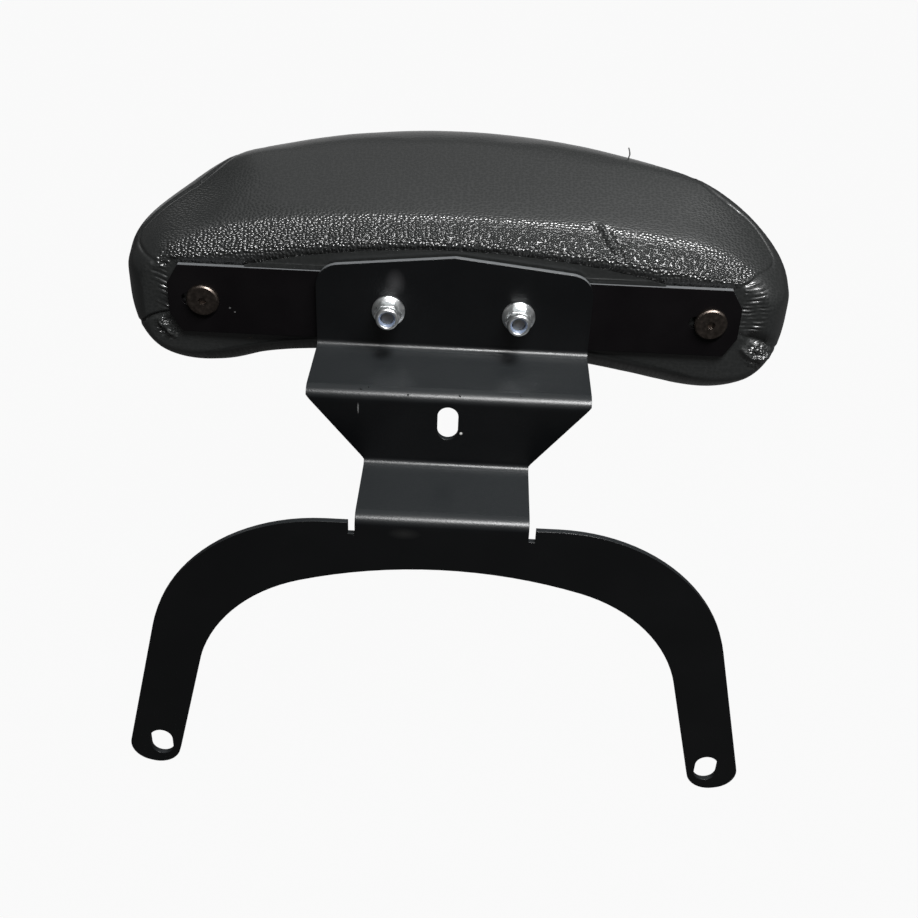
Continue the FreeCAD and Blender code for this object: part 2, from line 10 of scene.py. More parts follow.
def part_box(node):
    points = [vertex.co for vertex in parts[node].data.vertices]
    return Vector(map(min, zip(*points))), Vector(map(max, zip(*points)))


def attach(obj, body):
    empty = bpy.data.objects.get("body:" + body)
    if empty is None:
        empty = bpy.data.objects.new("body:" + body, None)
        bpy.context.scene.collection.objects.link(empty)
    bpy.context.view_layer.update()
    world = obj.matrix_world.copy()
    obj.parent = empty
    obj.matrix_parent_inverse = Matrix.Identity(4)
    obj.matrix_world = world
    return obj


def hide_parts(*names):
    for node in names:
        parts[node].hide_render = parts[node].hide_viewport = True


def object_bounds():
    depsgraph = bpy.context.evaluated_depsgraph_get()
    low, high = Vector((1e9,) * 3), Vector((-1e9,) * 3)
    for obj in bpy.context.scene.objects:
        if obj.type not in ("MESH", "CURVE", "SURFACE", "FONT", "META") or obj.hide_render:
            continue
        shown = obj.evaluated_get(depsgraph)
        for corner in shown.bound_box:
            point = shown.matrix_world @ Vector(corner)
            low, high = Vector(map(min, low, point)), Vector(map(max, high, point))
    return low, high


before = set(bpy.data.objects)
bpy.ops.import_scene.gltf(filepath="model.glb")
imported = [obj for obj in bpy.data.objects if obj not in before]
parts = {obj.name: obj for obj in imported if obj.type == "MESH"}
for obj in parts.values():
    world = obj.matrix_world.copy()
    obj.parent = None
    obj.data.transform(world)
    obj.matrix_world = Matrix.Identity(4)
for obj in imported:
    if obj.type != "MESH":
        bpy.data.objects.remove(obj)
cadBox = [list(corner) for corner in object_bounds()]
scene = bpy.context.scene
print("frame loaded,", len(parts), "nodes")


# Camera, floor and light

view = {
    "place": (0.01015, -0.49189, 0.53160),
    "elevation": 33.5,
    "yaw": -0.351,
    "roll": 2.577,
    "sensor": 36,
    "lens": 47.06,  # 1200 pixels of focal length on a 918 pixel wide image
    "nearest": 0.01,
}


def makeCamera():
    rise, yaw = math.radians(view["elevation"]), math.radians(view["yaw"])
    level = math.cos(rise)
    forward = Vector((math.sin(yaw) * level, math.cos(yaw) * level, -math.sin(rise)))
    lens = bpy.data.cameras.new("photoLens")
    lens.sensor_width = view["sensor"]
    lens.lens = view["lens"]
    lens.clip_start = view["nearest"]
    camera = bpy.data.objects.new("photoCamera", lens)
    camera.location = view["place"]
    camera.rotation_mode = "QUATERNION"
    tilt = Quaternion((0, 0, 1), math.radians(view["roll"]))
    camera.rotation_quaternion = forward.to_track_quat("-Z", "Y") @ tilt
    scene.collection.objects.link(camera)
    scene.camera = camera


def addNode(tree, kind, inputs=None, **settings):
    made = tree.nodes.new("ShaderNode" + kind)
    for name, value in settings.items():
        setattr(made, name, value)
    for name, value in (inputs or {}).items():
        if isinstance(value, bpy.types.NodeSocket):
            tree.links.new(value, made.inputs[name])
        else:
            made.inputs[name].default_value = value
    return made


def joined(tree, operation, first, second):
    return addNode(tree, "Math", {0: first, 1: second}, operation=operation).outputs[0]


stage = {
    "floorSize": 8.0,
    "floorCells": 4,
    "floorGap": 0.0004,  # below the lowest point of the part
    "floorColour": (0.04, 0.04, 0.04, 1),
    "white": (1, 1, 1, 1),
    "cameraWhite": 0.95,  # how much of the floor's shade the camera doesn't see
    "glossyWhite": 0.02,
    "worldLight": 0.055,
}


def seenDirectly(tree, path):
    return joined(tree, "MAXIMUM", path["Is Camera Ray"], path["Is Transmission Ray"])


def whitePaper():
    paper = bpy.data.materials.new("whitePaper")
    paper.use_nodes = True
    tree = paper.node_tree
    tree.nodes.clear()
    path = addNode(tree, "LightPath").outputs
    matt = addNode(tree, "BsdfDiffuse", {"Color": stage["floorColour"]})
    white = addNode(tree, "Emission", {"Color": stage["white"], "Strength": 1.0})
    seen = joined(tree, "MULTIPLY", seenDirectly(tree, path), stage["cameraWhite"])
    mirrored = joined(tree, "MULTIPLY", path["Is Glossy Ray"], stage["glossyWhite"])
    share = joined(tree, "MAXIMUM", seen, mirrored)
    mix = addNode(tree, "MixShader", {0: share, 1: matt.outputs[0], 2: white.outputs[0]})
    addNode(tree, "OutputMaterial", {"Surface": mix.outputs[0]})
    return paper


def makeFloor():
    mesh = bpy.data.meshes.new("studioFloor")
    bm = bmesh.new()
    cells = stage["floorCells"]
    bmesh.ops.create_grid(bm, x_segments=cells, y_segments=cells, size=stage["floorSize"] / 2)
    bmesh.ops.translate(bm, verts=bm.verts, vec=(0, 0, cadBox[0][2] - stage["floorGap"]))
    bm.to_mesh(mesh)
    bm.free()
    mesh.materials.append(whitePaper())
    floor = bpy.data.objects.new("studioFloor", mesh)
    scene.collection.objects.link(floor)


def makeRoom():
    sky = bpy.data.worlds.new("studioRoom")
    scene.world = sky
    sky.use_nodes = True
    tree = sky.node_tree
    tree.nodes.clear()
    seen = seenDirectly(tree, addNode(tree, "LightPath").outputs)
    strength = addNode(tree, "MapRange", {"Value": seen, "To Min": stage["worldLight"], "To Max": 1.0})
    back = addNode(tree, "Background", {"Color": stage["white"], "Strength": strength.outputs[0]})
    addNode(tree, "OutputWorld", {"Surface": back.outputs[0]})


lamps = {
    # place, aim, width, height, watts
    "overheadSoftbox": ((0.05, 0.55, 1.30), (0, 0.12, 0.25), 1.30, 0.80, 0.77),
    "rearStrip": ((0.32, -0.38, 1.12), (0.02, 0.10, 0.25), 0.90, 0.18, 28.0),
    "frontSoftbox": ((-0.25, 1.25, 0.60), (0, 0.15, 0.22), 1.40, 0.90, 1.7),
}


def makeLamps():
    for name, (place, aim, width, height, watts) in lamps.items():
        lamp = bpy.data.lights.new(name, "AREA")
        lamp.shape = "RECTANGLE"
        lamp.size, lamp.size_y = width, height
        lamp.energy = watts
        box = bpy.data.objects.new(name, lamp)
        box.location = place
        box.rotation_euler = (Vector(aim) - Vector(place)).to_track_quat("-Z", "Y").to_euler()
        scene.collection.objects.link(box)


scene.view_settings.view_transform = "Standard"
makeCamera()
makeFloor()
makeRoom()
makeLamps()
print("camera, floor and lamps set")


# Finishes

cloudSpan = (0.3, 0.7)  # where most of a soft noise lies
bevelSamples = 4


def newFinish(name, fixed):
    finish = bpy.data.materials.new(name)
    finish.use_nodes = True
    tree = finish.node_tree
    shader = tree.nodes["Principled BSDF"]
    for socket, value in fixed.items():
        shader.inputs[socket].default_value = value
    place = addNode(tree, "TexCoord").outputs["Object"]
    return finish, tree, shader, place


def grainOf(tree, place, scale, detail, roughness=0.5):
    return addNode(tree, "TexNoise", {
        "Vector": place, "Scale": scale, "Detail": detail, "Roughness": roughness}).outputs["Fac"]


def spread(tree, value, low, high, toLow, toHigh):
    return addNode(tree, "MapRange", {
        "Value": value, "From Min": low, "From Max": high, "To Min": toLow, "To Max": toHigh}).outputs[0]


def colourBetween(tree, factor, first, second):
    mix = addNode(tree, "Mix", {"Factor": factor}, data_type="RGBA")
    mix.inputs["A"].default_value = (*first, 1)
    mix.inputs["B"].default_value = (*second, 1)
    return mix.outputs["Result"]


def colourOver(tree, factor, under, over):
    mix = addNode(tree, "Mix", {"Factor": factor, "A": under}, data_type="RGBA")
    mix.inputs["B"].default_value = (*over, 1)
    return mix.outputs["Result"]


def cloudy(name, look, fixed):
    # colour and gloss change with one soft noise, and a fine bump lies over rounded edges
    finish, tree, shader, place = newFinish(name, fixed)
    cloud = grainOf(tree, place, *look["cloud"])
    tree.links.new(spread(tree, cloud, *cloudSpan, *look["gloss"]), shader.inputs["Roughness"])
    if "bump" in look:
        scale, detail, strength, distance = look["bump"]
        edge = addNode(tree, "Bevel", {"Radius": look["edge"]}, samples=bevelSamples)
        bump = addNode(tree, "Bump", {
            "Height": grainOf(tree, place, scale, detail), "Strength": strength,
            "Distance": distance, "Normal": edge.outputs[0]})
        tree.links.new(bump.outputs[0], shader.inputs["Normal"])
    coat = colourBetween(tree, cloud, look["dark"], look["light"])
    return finish, tree, shader, place, coat


def plainFinish(name, look, fixed):
    finish, tree, shader, place, coat = cloudy(name, look, fixed)
    tree.links.new(coat, shader.inputs["Base Color"])
    return finish


# where the painted edge highlight lies: faces that look up, above a height
paintedHighlightBand = {
    "facing": (0.35, 0.75),  # how much a face looks up
    "rise": 0.0006,
}


def lookingUp(tree, low, high):
    normal = addNode(tree, "NewGeometry").outputs["Normal"]
    facing = addNode(tree, "SeparateXYZ", {0: normal}).outputs["Z"]
    return spread(tree, facing, low, high, 0, 1)


def topEdge(tree, place, height):
    # 1 on faces that look up and lie above the height, where the painted edge highlight goes
    level = addNode(tree, "SeparateXYZ", {0: place}).outputs["Z"]
    above = spread(tree, level, height, height + paintedHighlightBand["rise"], 0, 1)
    return joined(tree, "MULTIPLY", lookingUp(tree, *paintedHighlightBand["facing"]), above)


def marked(tree, place, coat, marks):
    for centre, reach, full, stretch, colour in marks.values():
        start = tuple(value / 1000 for value in centre)
        away = addNode(tree, "VectorMath", {0: place, 1: start}, operation="SUBTRACT").outputs[0]
        away = addNode(tree, "VectorMath", {0: away, 1: stretch}, operation="MULTIPLY").outputs[0]
        away = addNode(tree, "VectorMath", {0: away}, operation="LENGTH").outputs["Value"]
        share = spread(tree, away, reach * full / 1000, reach / 1000, 1, 0)
        coat = colourOver(tree, share, coat, colour)
    return coat


# real marks and wear, with painted light: lighter faces that look up, painted shadows under the nuts and
# painted edge highlights
def wearAndPaintedLightFinish(name, look, marks):
    fixed = {"Specular IOR Level": look["specular"]}
    finish, tree, shader, place, coat = cloudy(name, look, fixed)
    if "paintedTopLight" in look:
        # painted light: faces that look up are made lighter, as if lit from above
        coat = colourOver(tree, lookingUp(tree, *look["paintedTopLightFacing"]), coat, look["paintedTopLight"])
    coat = marked(tree, place, coat, marks)
    # painted highlight on the top edges
    coat = colourOver(tree, topEdge(tree, place, look["paintedEdgeHighlightAbove"]), coat, look["paintedEdgeHighlight"])
    tree.links.new(coat, shader.inputs["Base Color"])
    return finish


# cloud is a noise's scale and detail, bump a noise's scale and detail with its strength and depth
powder = {
    "dark": (0.0013, 0.0015, 0.0018),
    "light": (0.0024, 0.0027, 0.0032),
    # painted light, not dust: a lighter colour on faces that look up
    "paintedTopLight": (0.0120, 0.0135, 0.0145),
    "paintedTopLightFacing": (0.25, 0.9),  # the painted light lies on the faces that look up
    "gloss": (0.28, 0.38),
    "specular": 0.45,
    # painted highlight on the powder coat's top edges
    "paintedEdgeHighlight": (0.105, 0.110, 0.114),
    "paintedEdgeHighlightAbove": 0.256,
    "cloud": (22, 3),
    "edge": 0.0005,
    "bump": (900, 1, 0.10, 0.0004),
}
# colour of the painted shadows under the nuts
nutShadowColour = (0.0042, 0.0046, 0.0050)
powderMarks = {
    # centre and reach in millimetres, share that is fully marked, stretch, colour
    "chip": ((7.3, 47.5, 190.9), 0.9, 0.6, (1, 1, 1), (0.60, 0.60, 0.58)),
    "scratch": ((-47.4, 47.5, 203.6), 3.7, 0.5, (8, 1, 1), (0.12, 0.12, 0.12)),
    "rub": ((-19, -3, 160.5), 9, 0.1, (1, 1, 2.4), (0.012, 0.0123, 0.0122)),
    # a lighter patch on the flange beside the left nut
    "lighterBesideNut": ((-32, 97, 253), 9, 0.0, (1.5, 1, 1), (0.030, 0.030, 0.0315)),
    # painted shadows of the nuts on the ledge under them
    "nutShadowLeft": ((-38.5, 90.0, 214.5), 11.0, 0.3, (1.5, 1.1, 1), nutShadowColour),
    "nutShadowRight": ((31.2, 90.0, 214.5), 11.0, 0.3, (1.5, 1.1, 1), nutShadowColour),
}
strapPaint = {
    "dark": (0.0015, 0.0012, 0.0015),
    "light": (0.0033, 0.0027, 0.0032),
    "gloss": (0.36, 0.50),
    "specular": 0.18,
    # painted highlight on the strap's top edge
    "paintedEdgeHighlight": (0.100, 0.104, 0.108),
    "paintedEdgeHighlightAbove": 0.250,
    "cloud": (30, 4),
    "edge": 0.0005,
    "bump": (700, 2, 0.12, 0.0004),
}
strapMarks = {
    "speckHigh": ((-123, 100, 232), 0.7, 0.5, (1, 1, 1), (0.09, 0.09, 0.09)),
    "speckLow": ((-120.4, 100, 229.7), 0.6, 0.5, (1, 1, 1), (0.09, 0.09, 0.09)),
}
zinc = {
    "dark": (0.84, 0.88, 0.90),
    "light": (0.96, 0.97, 0.96),
    "gloss": (0.26, 0.40),
    "cloud": (260, 3),
    "edge": 0.0004,
    "bump": (1600, 2, 0.05, 0.0002),
}
pitted = {
    "cloud": (420, 4),
    "edge": 0.0003,
    "bump": (1900, 3, 0.25, 0.0002),
}
darkSteel = {
    **pitted,
    "dark": (0.30, 0.30, 0.30),
    "light": (0.50, 0.49, 0.48),
    "gloss": (0.30, 0.45),
}
darkBronze = {
    **pitted,
    "dark": (0.075, 0.063, 0.055),
    "light": (0.150, 0.124, 0.108),
    "gloss": (0.30, 0.48),
}
nylon = {
    "dark": (0.11, 0.14, 0.20),
    "light": (0.18, 0.22, 0.30),
    "gloss": (0.28, 0.42),
    "cloud": (500, 2),
    "depth": 0.1,
    "depthReach": (0.001, 0.001, 0.002),
}
wood = {
    "dark": (0.38, 0.25, 0.14),
    "light": (0.62, 0.46, 0.28),
    "roughness": 0.75,
    "stretch": (6, 60, 90),
    "streak": (4, 5, 0.6),
    "bump": 0.3,
    "bumpDepth": 0.0003,
}


def plyWood():
    finish, tree, shader, place = newFinish("plyBoard", {"Roughness": wood["roughness"]})
    turned = addNode(tree, "Mapping", {"Vector": place, "Scale": wood["stretch"]})
    streak = grainOf(tree, turned.outputs[0], *wood["streak"])
    tree.links.new(colourBetween(tree, streak, wood["dark"], wood["light"]), shader.inputs["Base Color"])
    bump = addNode(tree, "Bump", {
        "Height": streak, "Strength": wood["bump"], "Distance": wood["bumpDepth"]})
    tree.links.new(bump.outputs[0], shader.inputs["Normal"])
    return finish


leather = {
    "dark": (0.0082, 0.0089, 0.0088),
    "light": (0.0130, 0.0141, 0.0139),
    "cloud": (16, 3),
    "pebble": 500,  # cells per metre, about 2 mm each
    "pebbleEdge": 0.72,
    "uneven": 0.75,
    "wander": 160,
    "wanderPush": (0.0009, 0.0009, 0),
    "fine": (2600, 2),
    "fineShare": 0.18,
    "depth": 0.0006,
    "specular": 0.48,
    "gloss": (0.34, 0.54),
    "coat": 1.0,
    "coatIor": 1.53,
    "coatGloss": 0.18,
}


def pebbles(tree, place):
    # they lie flat on the skin: along the pad, and over the roll from its back to its top
    sides = addNode(tree, "SeparateXYZ", {0: place}).outputs
    over = joined(tree, "ADD", sides["Y"], sides["Z"])
    skinPlace = addNode(tree, "CombineXYZ", {"X": sides["X"], "Y": over}).outputs[0]
    wander = addNode(tree, "TexNoise", {"Vector": place, "Scale": leather["wander"], "Detail": 1.0})
    push = addNode(tree, "VectorMath", {
        0: wander.outputs["Color"], 1: leather["wanderPush"]}, operation="MULTIPLY").outputs[0]
    moved = addNode(tree, "VectorMath", {0: skinPlace, 1: push}, operation="ADD").outputs[0]
    cells = addNode(tree, "TexVoronoi", {
        "Vector": moved, "Scale": leather["pebble"], "Randomness": leather["uneven"]},
        feature="F1", voronoi_dimensions="2D")
    return addNode(tree, "MapRange", {
        "Value": cells.outputs["Distance"], "From Min": 0.0, "From Max": leather["pebbleEdge"],
        "To Min": 1.0, "To Max": 0.0}, interpolation_type="SMOOTHSTEP").outputs[0]


def leatherette():
    finish, tree, shader, place = newFinish("pebbledLeatherette", {
        "Specular IOR Level": leather["specular"], "Coat Weight": leather["coat"],
        "Coat Roughness": leather["coatGloss"], "Coat IOR": leather["coatIor"]})
    pebble = pebbles(tree, place)
    fine = grainOf(tree, place, *leather["fine"])
    skin = addNode(tree, "Math", {
        0: fine, 1: leather["fineShare"], 2: pebble}, operation="MULTIPLY_ADD").outputs[0]
    grain = addNode(tree, "Attribute", attribute_name="grain").outputs["Fac"]
    bump = addNode(tree, "Bump", {"Height": skin, "Strength": grain, "Distance": leather["depth"]})
    tree.links.new(bump.outputs[0], shader.inputs["Normal"])
    tree.links.new(bump.outputs[0], shader.inputs["Coat Normal"])
    cloud = grainOf(tree, place, *leather["cloud"])
    coat = colourBetween(tree, cloud, leather["dark"], leather["light"])
    tree.links.new(coat, shader.inputs["Base Color"])
    smooth, rough = leather["gloss"]
    tree.links.new(spread(tree, pebble, 0.0, 1.0, rough, smooth), shader.inputs["Roughness"])
    return finish


metal = {"Metallic": 1.0}
finishes = {
    "powder": wearAndPaintedLightFinish("blackPowderCoat", powder, powderMarks),
    "paint": wearAndPaintedLightFinish("satinBlackPaint", strapPaint, strapMarks),
    "zinc": plainFinish("zincPlate", zinc, metal),
    "steel": plainFinish("darkSteel", darkSteel, metal),
    "bronze": plainFinish("darkBronze", darkBronze, metal),
    "nylon": plainFinish("blueNylon", nylon, {
        "Subsurface Weight": nylon["depth"], "Subsurface Radius": nylon["depthReach"]}),
    "wood": plyWood(),
    "leather": leatherette(),
}
coats = {
    "mounting_bracket": "powder",
    "pad_strap": "paint",
    "backing_board": "wood",
    "insert_nut": "zinc",
    "bracket_bolt": "steel",
    "bracket_nut": "zinc",
    "nut_insert": "nylon",
    "pad_bolt": "bronze",
}
for name, part in parts.items():
    for start, coat in coats.items():
        if name.startswith(start):
            part.data.materials.clear()
            part.data.materials.append(finishes[coat])
print("finishes made:", len(finishes))


# Cushion: sewn sections, swollen as cloth, then pulled in at seams, gathers and creases

cushion = {
    "back": 0.103,
    "ledge": 0.214,
    "boltLine": 0.0225,
    "shift": 0.0016,
    "roll": -0.34,
    "width": 0.3731,
    "depth": 0.09235,
    "backTop": 0.0671,
    "frontTop": 0.1020,
    "backBottom": -0.0023,
    "frontBottom": -0.0357,
    "topArch": 0.0160,
    "bottomArch": 0.0176,
    "archSpan": 0.145,
    "endDepth": 0.0312,
    "endHeight": 0.0291,
    "backFlat": 0.1637,
    "frontFlat": 0.0129,
    "topFlat": 0.1255,
    "endPower": 1.61,
    "squareness": 5.4,
    "swell": 0.003,
    "ringPoints": 120,
    "stations": 60,
    "endStation": 88.5,  # degrees, as the sections come closer together towards the ends
    "inset": 0.0012,  # the cloth is sewn this much smaller
    "insetFrom": 0.002,  # but not on the board
    "voxel": 0.006,
    "smoothing": 2,
    "heldDepth": 0.004,  # cloth that is fixed to the board
    "frames": 20,
    "cap": 0.0016,
    "evening": 12,
}
cover = {
    "quality": 6,
    "mass": 0.3,
    "tension_stiffness": 25,
    "compression_stiffness": 25,
    "shear_stiffness": 10,
    "bending_stiffness": 2.0,
    "use_pressure": True,
    "uniform_pressure_force": 3.0,
}
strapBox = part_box("pad_strap")
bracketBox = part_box("mounting_bracket")


def mm(*place):
    return Vector(place) / 1000


def ramp(value, low, high):
    share = min(max((value - low) / (high - low), 0), 1)
    return share * share * (3 - 2 * share)


def noises(point, waves):
    # soft noises added up, each with its scale, height and shift
    return sum(height * noise.noise(point * scale + Vector(shift)) for scale, height, shift in waves)


def endFade(along, flat, power=2.0):
    half = cushion["width"] / 2
    share = min(max((along - flat) / (half - flat), 0), 1)
    return max(1 - share ** power, 0) ** (1 / power)


def squared(value):
    # from a circle's sine or cosine to a share across a squarer section
    return math.copysign(abs(value) ** (2 / cushion["squareness"]), value) / 2 + 0.5


def cushionPoint(along, angle):
    c = cushion
    away = abs(along)
    arch = (away / c["archSpan"]) ** 2
    rear = c["endDepth"] - (c["endDepth"] + c["swell"]) * endFade(away, c["backFlat"])
    fore = c["endDepth"] + (c["depth"] - c["endDepth"]) * endFade(away, c["frontFlat"], c["endPower"])
    tall = endFade(away, c["topFlat"])

    def level(height, drop):
        return c["endHeight"] + (height - drop * arch - c["endHeight"]) * tall

    across, up = squared(math.cos(angle)), squared(math.sin(angle))
    low = level(c["backBottom"], c["bottomArch"]) * (1 - across)
    low += level(c["frontBottom"], c["bottomArch"]) * across
    high = level(c["backTop"], c["topArch"]) * (1 - across)
    high += level(c["frontTop"], c["topArch"]) * across
    y = max(rear + (fore - rear) * across, 0)
    z = low + (high - low) * up - c["boltLine"]
    turn = math.radians(c["roll"])
    return Vector((
        along * math.cos(turn) - z * math.sin(turn) + c["shift"],
        c["back"] + y,
        c["ledge"] + c["boltLine"] + along * math.sin(turn) + z * math.cos(turn),
    ))


def inOrder(items):
    # each item once, in the same order every run
    return list(dict.fromkeys(items))


def closedSkin(bm, rings):
    # each ring of points is bridged to the one before it, and both ends are closed
    before = None
    for ring in rings:
        edges = inOrder(edge for vert in ring for edge in vert.link_edges)
        if before:
            bmesh.ops.bridge_loops(bm, edges=before + edges)
        else:
            bmesh.ops.edgeloop_fill(bm, edges=edges)
        before = edges
    bmesh.ops.edgeloop_fill(bm, edges=[edge for edge in before if edge.is_boundary])


def cushionRings(bm):
    count, points = cushion["stations"], cushion["ringPoints"]
    half, furthest = cushion["width"] / 2, math.radians(cushion["endStation"])
    for step in range(-count, count + 1):
        along = half * math.sin(furthest * step / count)
        ring = bmesh.ops.create_circle(bm, segments=points, radius=1)["verts"]
        for index, vert in enumerate(ring):
            vert.co = cushionPoint(along, 2 * math.pi * index / points)
        yield ring


def sewnForm(inset):
    bm = bmesh.new()
    closedSkin(bm, cushionRings(bm))
    bmesh.ops.recalc_face_normals(bm, faces=bm.faces)
    bm.normal_update()
    moves = [(vert, vert.normal * -inset) for vert in bm.verts]
    for vert, move in moves:
        if vert.co.y > cushion["back"] + cushion["insetFrom"]:
            vert.co += move
    return bm


def evaluated(piece):
    graph = bpy.context.evaluated_depsgraph_get()
    return bpy.data.meshes.new_from_object(piece.evaluated_get(graph), depsgraph=graph)


def subdivided(mesh):
    piece = bpy.data.objects.new("subdivided", mesh)
    scene.collection.objects.link(piece)
    fine = piece.modifiers.new("fine", "SUBSURF")
    fine.levels = fine.render_levels = cushion["smoothing"]
    result = evaluated(piece)
    bpy.data.objects.remove(piece)
    return result


def evenMesh():
    mesh = bpy.data.meshes.new("sewnForm")
    bm = sewnForm(cushion["inset"])
    bm.to_mesh(mesh)
    bm.free()
    piece = bpy.data.objects.new("sewnForm", mesh)
    scene.collection.objects.link(piece)
    even = piece.modifiers.new("even", "REMESH")
    even.mode = "VOXEL"
    even.voxel_size = cushion["voxel"]
    mesh = evaluated(piece)
    bpy.data.objects.remove(piece)
    return mesh


def evened(moves, mesh):
    near = [[index] for index in range(len(moves))]
    for edge in mesh.edges:
        first, second = edge.vertices
        near[first].append(second)
        near[second].append(first)
    for turn in range(cushion["evening"]):
        moves = [sum((moves[index] for index in group), Vector()) / len(group) for group in near]
    return moves


def swellMoves(mesh):
    # how far each point moves when the sewn cover is blown up, evened out over its neighbours
    piece = bpy.data.objects.new("swellingForm", mesh.copy())
    scene.collection.objects.link(piece)
    held = piece.vertex_groups.new(name="onBoard")
    board = cushion["back"] + cushion["heldDepth"]
    held.add([vert.index for vert in mesh.vertices if vert.co.y < board], 1.0, "REPLACE")
    cloth = piece.modifiers.new("swell", "CLOTH")
    for name, value in cover.items():
        setattr(cloth.settings, name, value)
    cloth.settings.effector_weights.gravity = 0
    cloth.settings.vertex_group_mass = held.name
    cloth.point_cache.frame_start = 1
    cloth.point_cache.frame_end = cushion["frames"]
    for step in range(1, cushion["frames"] + 1):
        scene.frame_set(step)
    swollen = evaluated(piece)
    scene.frame_set(1)
    bpy.data.objects.remove(piece)
    raw = [after.co - before.co for after, before in zip(swollen.vertices, mesh.vertices)]
    moves = evened(raw, mesh)
    furthest, kept = (max(move.length for move in group) * 1000 for group in (raw, moves))
    print(f"cloth moved up to {furthest:.1f} mm, {kept:.1f} mm when evened")
    return moves


def swollenForm():
    mesh = evenMesh()
    plain = subdivided(mesh)
    shape = sewnForm(0)
    skin = BVHTree.FromBMesh(shape)
    shape.free()
    for vert in plain.vertices:
        vert.co = skin.find_nearest(vert.co)[0]
    raised = mesh.copy()
    for vert, move in zip(raised.vertices, swellMoves(mesh)):
        vert.co += move * min(cushion["cap"] / max(move.length, 1e-6), 1)
    before, after = subdivided(mesh), subdivided(raised)
    for vert, start, stop in zip(plain.vertices, before.vertices, after.vertices):
        vert.co += stop.co - start.co
    return plain


seams = {
    "edgeAngle": 48,
    "endTurn": 14,  # the seams come nearer to the top and the underside towards the ends
    "turnFrom": (0.110, 0.165),
    "points": 15,  # to each side
    "topReach": 0.118,
    "underReach": 0.180,
    "width": 0.0010,
    "topDepth": 0.0006,
    "underDepth": 0.0004,
    "lip": 0.0001,
    # from the strap's corners round the ends, in millimetres
    "upperLeft": (
        (-156.6, 103, 255.2), (-160, 103.2, 255.5), (-164.6, 105, 256.7), (-169.9, 110.6, 257.7),
        (-175.4, 121.3, 258.4), (-176.7, 127.2, 259.7), (-176.2, 131.8, 262.3), (-170.7, 135.6, 269),
        (-162.3, 140.8, 277), (-152, 145.3, 284.1), (-145.1, 148.1, 288)),
    "upperRight": (
        (157, 104.2, 258.2), (164.6, 111.1, 261.1), (173.7, 122.4, 261.4), (175.6, 130.2, 263.4),
        (172.7, 134.8, 267.9), (168.2, 139.5, 273.1), (162.5, 144.1, 278.4), (153.7, 147.7, 284.1),
        (143, 153.2, 290.2)),
    "lowerLeft": (
        (-157, 103, 226.5), (-163, 103, 224.9), (-168.9, 103, 222.5), (-176.3, 109.1, 216.6),
        (-181, 124, 211)),
    "lowerRight": (
        (158, 103, 229), (165, 103, 226), (172, 103, 224), (178.5, 107, 220), (183, 122, 214)),
}
folds = {
    # half width, height, path in millimetres
    "lineLeft": (0.0010, -0.0016, (
        (-155, 103, 227), (-163, 103, 224.9), (-168.9, 103, 222.5), (-177, 109.5, 216))),
    "creaseLeft": (0.0010, -0.0011, (
        (72.0, 119, 284.5), (75.4, 114, 281), (78.8, 109.5, 277.5), (82, 105.5, 273.5))),
    "creaseRidge": (0.0012, 0.0014, (
        (75.6, 118.8, 283.8), (79.5, 113, 280), (83, 108, 276), (86.5, 104, 271))),
    "creaseRight": (0.0013, -0.0019, (
        (79.2, 118, 283), (83.4, 111.5, 279), (87, 106.4, 274.3), (90.2, 103, 268.5))),
    "hollowRight": (0.0040, -0.0028, (
        (160, 103, 227.5), (167, 103, 226), (173, 103, 224), (179, 106, 221.5))),
    "puckerRight": (0.0016, 0.0017, (
        (158.3, 103, 222.5), (162.9, 103, 218.3), (167.4, 103, 214.9), (173, 103, 215.1),
        (179.2, 108, 216.6))),
    "puckerLeft": (0.0018, 0.0014, (
        (-166, 103, 221), (-161.5, 103, 218.5), (-158.5, 103, 214.5), (-154.5, 103, 210.5))),
}
lineShape = {
    "reach": 5,  # in half widths
    "lipAt": 2.4,  # in half widths
    "taper": 0.25,  # share of a fold's length at each end
    "step": 0.0008,
}
gathers = {
    # strap edge, how far they run from it, lowest and highest line, spacing, height, slant
    "left": (-0.1568, 0.0130, 0.2275, 0.2530, 0.0034, 0.00042, -0.55),
    "right": (0.1568, 0.0240, 0.2300, 0.2600, 0.0025, 0.00042, 0.10),
}
gatherShape = {
    "start": (-0.002, 0.001),  # out from the strap's edge
    "depth": 0.022,  # forward from the board
    "margin": 0.002,
    "wander": ((150, 1.7, (0, 0, 0)), (60, 2.4, (7, 3, 1))),
    "height": 0.6,
    "leastHeight": 0.1,
    "heightNoise": ((190, 1.1, (1, 8, 5)),),
    "length": 0.75,
    "lengthNoise": 0.35,
    "lengthScale": 190,
    "lengthShift": 3,
    "fadeFrom": 0.45,
    "sink": 0.35,
    "second": (0.3, 2.1, 1),  # height, frequency and shift of a second wave
}
crumples = {
    # centre in millimetres, reach, size of a dent, height
    "cornerLeft": ((-158, 104, 257.5), 0.0065, 0.0034, 0.0010),
    "patchLeft": ((-159, 103, 217), 0.0095, 0.0036, 0.0012),
    "patchRight": ((170, 103.5, 216), 0.0100, 0.0034, 0.0009),
}
crumpleShape = {
    "second": (2.1, 0.5, (5, 2, 8)),  # finer dents: scale, height, shift
    "full": 0.4,
    "grainFull": 0.5,
}
sags = {
    # centre in millimetres, reach, depth where the pad's left end is less full
    "upperLeft": ((-155, 150, 287), 0.045, 0.0034),
    "lowerLeft": ((-108, 118, 195), 0.055, 0.0026),
}
hem = {
    "peak": 0.2708,
    "drop": 0.0138,
    "span": 0.115,
    "foot": 0.2569,
    "rear": 0.1019,
    "thickness": 0.0009,
    "foldHeight": 0.0024,
    "foldRear": 0.1009,
    "endHeight": 0.0004,
    "columns": 72,
    "rows": 4,
    "ripple": 0.00012,
    "rippleScale": (90, 2, 500),
}
